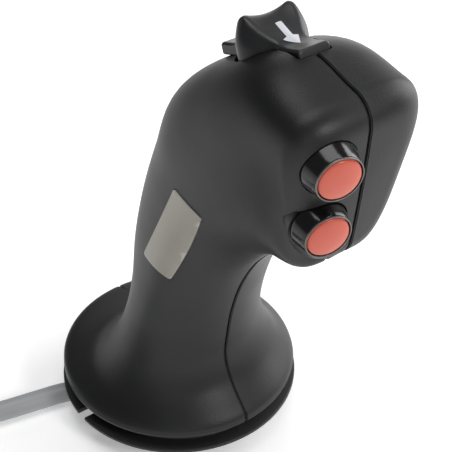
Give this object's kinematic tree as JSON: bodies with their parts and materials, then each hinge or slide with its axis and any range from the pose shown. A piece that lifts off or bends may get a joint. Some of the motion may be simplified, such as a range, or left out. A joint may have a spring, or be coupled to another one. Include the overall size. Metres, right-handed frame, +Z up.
{
  "type": "machine joystick grip",
  "caption": "Forward-leaning hand grip for a machine lever with a tilting paddle on top, push buttons on its front face, a round bellows base and a trailing cable.",
  "frame": {"origin": "centre of the base lip's underside, on the lever's axis", "axes": "+Z up along the lever, -Y forward the way the head leans, +X to the grip's own left, across the parting plane of the housing"},
  "size_m": [0.2477, 0.1546, 0.1936],
  "materials": {
    "housing": "moulded charcoal plastic with a fine texture, satin",
    "paddle": "moulded black plastic, satin, with a light grey arrow printed on its front slope",
    "trim": "satin silver-beige plate, blank",
    "bezel": "glossy black moulded ring",
    "rim": "thin satin metal ring",
    "button_cap": "satin red cap",
    "zinc_steel": "zinc plated steel",
    "spring_wire": "spring steel",
    "brass": "turned brass",
    "nylon": "dark glass filled nylon",
    "switch_case": "dark moulded case",
    "boot_rubber": "black rubber",
    "loom": "black sleeve over the conductors",
    "cable_jacket": "light grey cable jacket",
    "plug_case": "black moulded plug"
  },
  "bodies": {
    "grip": {"housing_right": "housing", "housing_left": "housing", "trim_plate_right": "trim", "trim_plate_left": "trim", "lever_insert": "zinc_steel", "housing_screw_1": "zinc_steel", "housing_screw_2": "zinc_steel", "housing_screw_3": "zinc_steel", "housing_screw_4": "zinc_steel", "brass_insert_1": "brass", "brass_insert_2": "brass", "brass_insert_3": "brass", "brass_insert_4": "brass", "rocker_carrier": "nylon", "rocker_pivot_pin": "zinc_steel", "microswitch_front": "switch_case", "microswitch_rear": "switch_case", "rocker_return_spring": "spring_wire", "upper_button_rim": "rim", "upper_button_bezel": "bezel", "upper_button_nut": "zinc_steel", "upper_button_switch": "switch_case", "upper_button_spring": "spring_wire", "upper_button_lead": "loom", "lower_button_rim": "rim", "lower_button_bezel": "bezel", "lower_button_nut": "zinc_steel", "lower_button_switch": "switch_case", "lower_button_spring": "spring_wire", "lower_button_lead": "loom", "cable_strain_relief": "boot_rubber", "wiring_loom": "loom", "rocker_lead": "loom", "cable": "cable_jacket", "cable_coil": "cable_jacket", "cable_tie": "switch_case", "plug_boot": "boot_rubber", "plug_body": "plug_case"},
    "rocker": {"paddle": "paddle", "rocker_lever": "nylon"},
    "button_upper": {"upper_button_cap": "button_cap"},
    "button_lower": {"lower_button_cap": "button_cap"}
  },
  "joints": [
    {"name": "rocker_tilt", "type": "hinge", "parent": "grip", "child": "rocker", "pos_m": [0, -0.05788, 0.1706], "axis": [1, 0, 0], "range_deg": [-10, 10], "stiffness_Nm_per_rad": 0.4, "deforming": ["rocker_return_spring"]},
    {"name": "upper_button_press", "type": "slide", "parent": "grip", "child": "button_upper", "axis": [0.1901, 0.9779, 0.0872], "range_m": [0, 0.0015], "stiffness_N_per_m": 500, "deforming": ["upper_button_spring"]},
    {"name": "lower_button_press", "type": "slide", "parent": "grip", "child": "button_lower", "axis": [0.1901, 0.9779, 0.0872], "range_m": [0, 0.0015], "stiffness_N_per_m": 500, "deforming": ["lower_button_spring"]}
  ]
}
